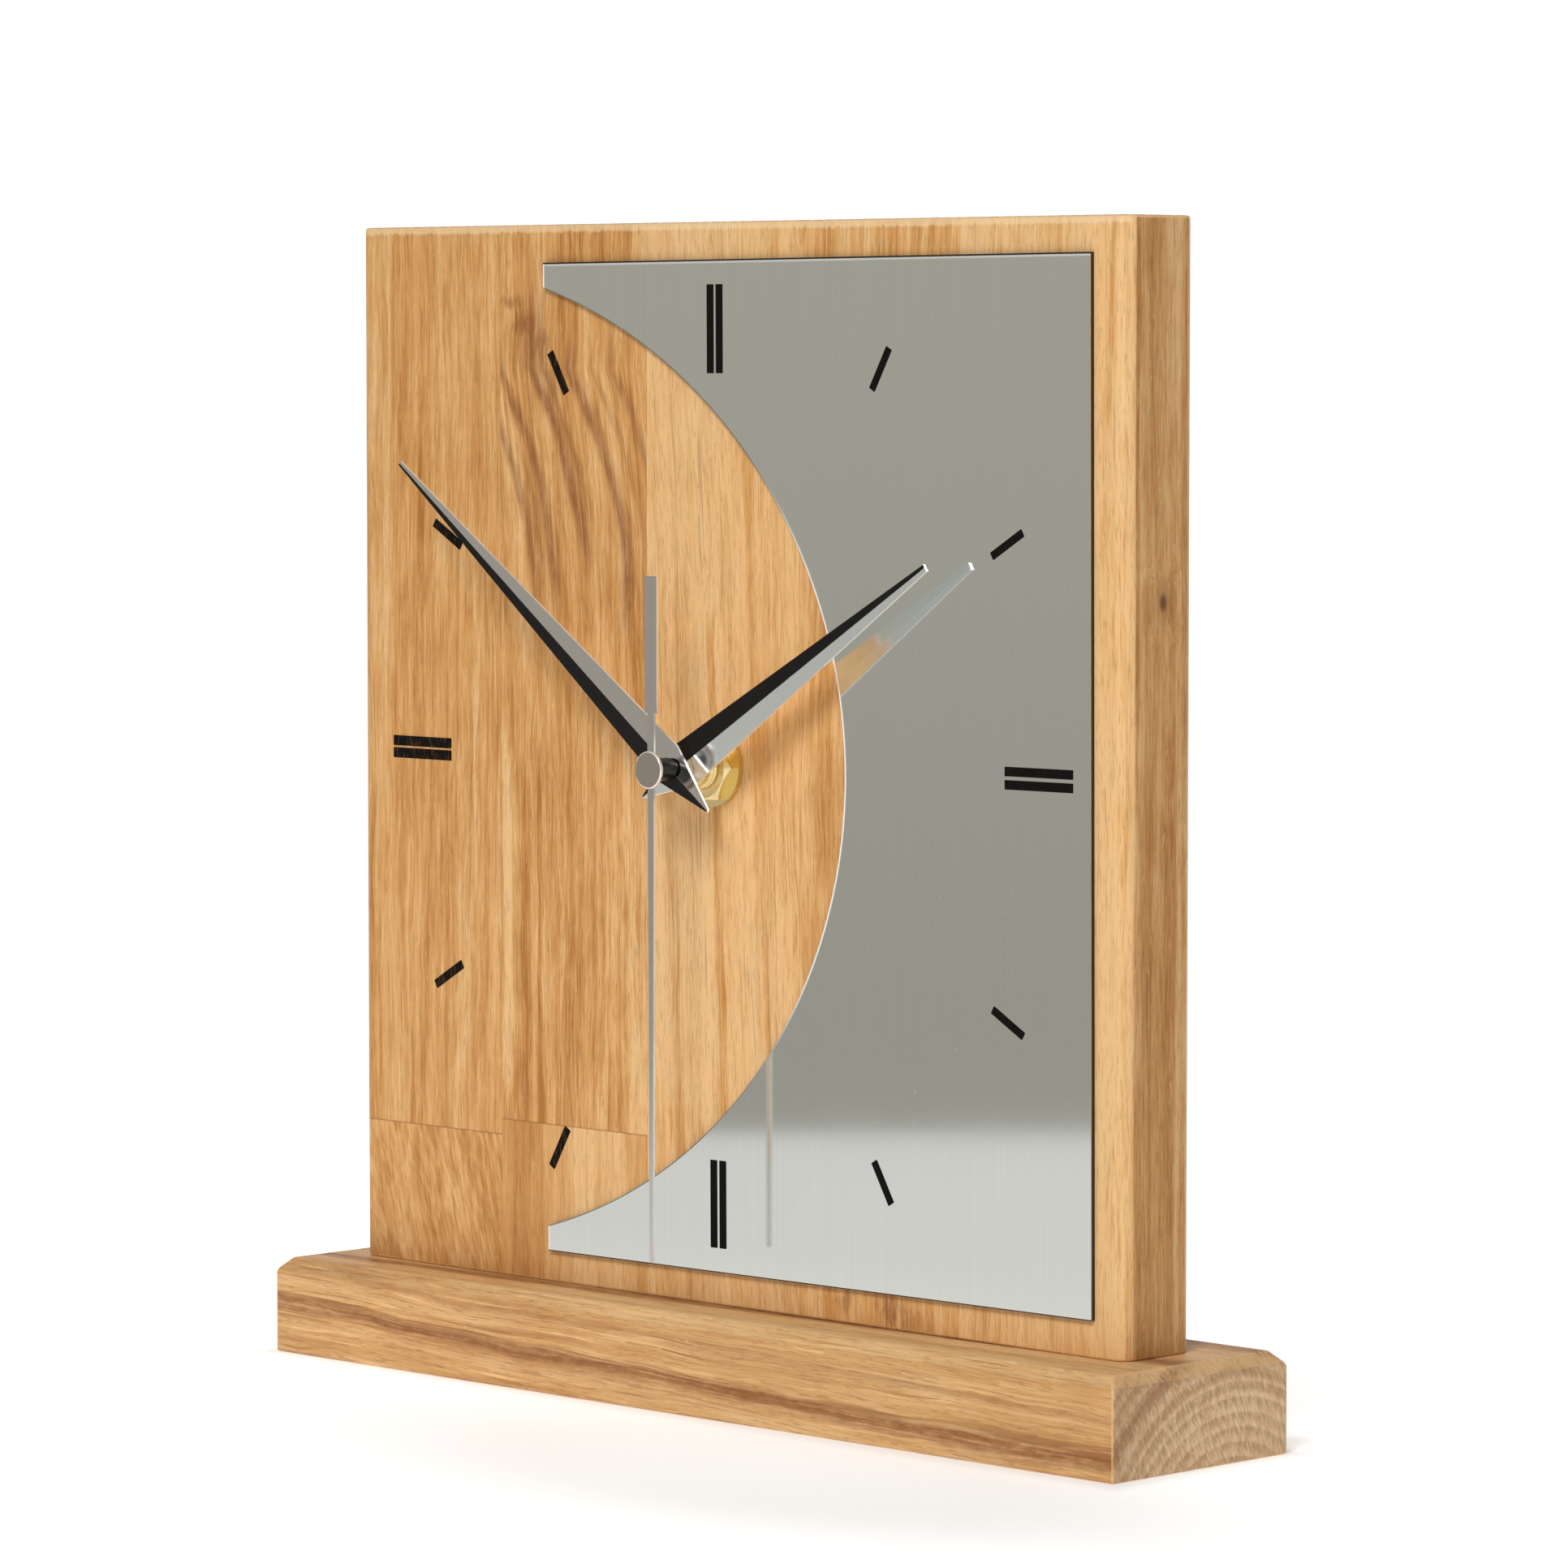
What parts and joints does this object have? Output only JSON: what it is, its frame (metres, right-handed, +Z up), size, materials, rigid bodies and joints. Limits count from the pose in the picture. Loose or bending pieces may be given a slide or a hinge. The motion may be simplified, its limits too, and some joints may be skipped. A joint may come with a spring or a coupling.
{
  "type": "table clock",
  "caption": "Table clock: a square glued oak board on an oak base bar, a brushed face plate cut by a wide arc, folded two-tone hands and a battery quartz movement in the back.",
  "frame": {"origin": "middle of the base bar's underside, on the surface that the clock stands on", "axes": "+Z up, the dial faces -Y, +X to the right as seen from the front"},
  "size_m": [0.22, 0.0492, 0.2185],
  "materials": {
    "oak": "oiled oak with a plain grain",
    "zinc_steel": "yellow zinc",
    "plate_black": "black laminate core",
    "plate_metal": "brushed upright",
    "mark_black": "black print and lacquer",
    "gasket_rubber": "matte",
    "case_plastic": "moulded, fine texture",
    "hub_brass": "bright turned brass",
    "board_green": "solder mask",
    "bright_steel": "nickel plated",
    "gear_plastic": "natural moulding",
    "copper_wire": "enamelled copper wire",
    "battery_wrap": "plain printed wrap",
    "magnet_grey": "sintered",
    "hand_two_tone": "polished half and black half",
    "hand_silver": "satin silver",
    "cap_chrome": "polished"
  },
  "bodies": {
    "clock": {"base_bar": "oak", "stave_1_lower": "oak", "stave_1_upper": "oak", "stave_2_lower": "oak", "stave_2_upper": "oak", "stave_3": "oak", "stave_4": "oak", "stave_5": "oak", "base_screws": "zinc_steel", "plate_core": "plate_black", "plate_skin": "plate_metal", "plate_marks": "mark_black", "wood_marks": "mark_black", "gasket": "gasket_rubber", "front_case": "case_plastic", "rear_cover": "case_plastic", "threaded_bushing": "hub_brass", "washer": "hub_brass", "hex_nut": "hub_brass", "circuit_board": "board_green", "chip_cover": "plate_black", "quartz_crystal": "bright_steel", "stator": "bright_steel", "coil_core": "bright_steel", "coil_bobbin": "gear_plastic", "coil_winding": "copper_wire", "contact_plus": "bright_steel", "contact_minus": "bright_steel"},
    "second_hand_body": {"second_hand": "hand_silver", "second_hand_post": "mark_black", "second_hand_cap": "cap_chrome", "second_wheel": "gear_plastic"},
    "idler_body": {"idler_wheel": "gear_plastic"},
    "rotor_body": {"rotor": "magnet_grey"},
    "third_body": {"third_wheel": "gear_plastic"},
    "minute_drive_body": {"minute_drive_wheel": "gear_plastic"},
    "minute_hand_body": {"minute_hand": "hand_two_tone", "minute_cannon": "hub_brass", "clutch_spring": "hub_brass"},
    "motion_body": {"motion_wheel": "gear_plastic"},
    "hour_hand_body": {"hour_hand": "hand_two_tone", "hour_wheel": "gear_plastic"},
    "set_knob_body": {"set_knob": "gear_plastic"},
    "battery_body": {"battery": "battery_wrap"}
  },
  "joints": [
    {"name": "second_hand_spin", "type": "hinge", "parent": "clock", "child": "second_hand_body", "pos_m": [-0.002, 0, 0.1185], "axis": [0, 1, 0], "continuous": true},
    {"name": "idler_spin", "type": "hinge", "parent": "clock", "child": "idler_body", "pos_m": [0.00237, 0, 0.12608], "axis": [0, 1, 0], "continuous": true},
    {"name": "rotor_spin", "type": "hinge", "parent": "clock", "child": "rotor_body", "pos_m": [0.00237, 0, 0.13208], "axis": [0, 1, 0], "continuous": true},
    {"name": "third_spin", "type": "hinge", "parent": "clock", "child": "third_body", "pos_m": [-0.0105, 0, 0.1185], "axis": [0, 1, 0], "continuous": true},
    {"name": "minute_drive_spin", "type": "hinge", "parent": "clock", "child": "minute_drive_body", "pos_m": [-0.002, 0, 0.1185], "axis": [0, 1, 0], "continuous": true},
    {"name": "minute_hand_spin", "type": "hinge", "parent": "clock", "child": "minute_hand_body", "pos_m": [-0.002, 0, 0.1185], "axis": [0, 1, 0], "continuous": true},
    {"name": "motion_spin", "type": "hinge", "parent": "clock", "child": "motion_body", "pos_m": [0.0052, 0, 0.1185], "axis": [0, 1, 0], "continuous": true},
    {"name": "hour_hand_spin", "type": "hinge", "parent": "clock", "child": "hour_hand_body", "pos_m": [-0.002, 0, 0.1185], "axis": [0, 1, 0], "continuous": true},
    {"name": "set_knob_spin", "type": "hinge", "parent": "clock", "child": "set_knob_body", "pos_m": [0.01229, 0, 0.11725], "axis": [0, 1, 0], "continuous": true},
    {"name": "battery_lift_out", "type": "slide", "parent": "clock", "child": "battery_body", "axis": [0, 1, 0], "range_m": [0, 0.02]}
  ],
  "couplings": [
    {"joint": "idler_spin", "follows": "second_hand_spin", "ratio": -6},
    {"joint": "rotor_spin", "follows": "second_hand_spin", "ratio": 30},
    {"joint": "third_spin", "follows": "second_hand_spin", "ratio": -0.13333},
    {"joint": "minute_drive_spin", "follows": "second_hand_spin", "ratio": 0.016667},
    {"joint": "motion_spin", "follows": "minute_hand_spin", "ratio": -0.33333},
    {"joint": "hour_hand_spin", "follows": "minute_hand_spin", "ratio": 0.083333},
    {"joint": "set_knob_spin", "follows": "minute_hand_spin", "ratio": 1}
  ]
}
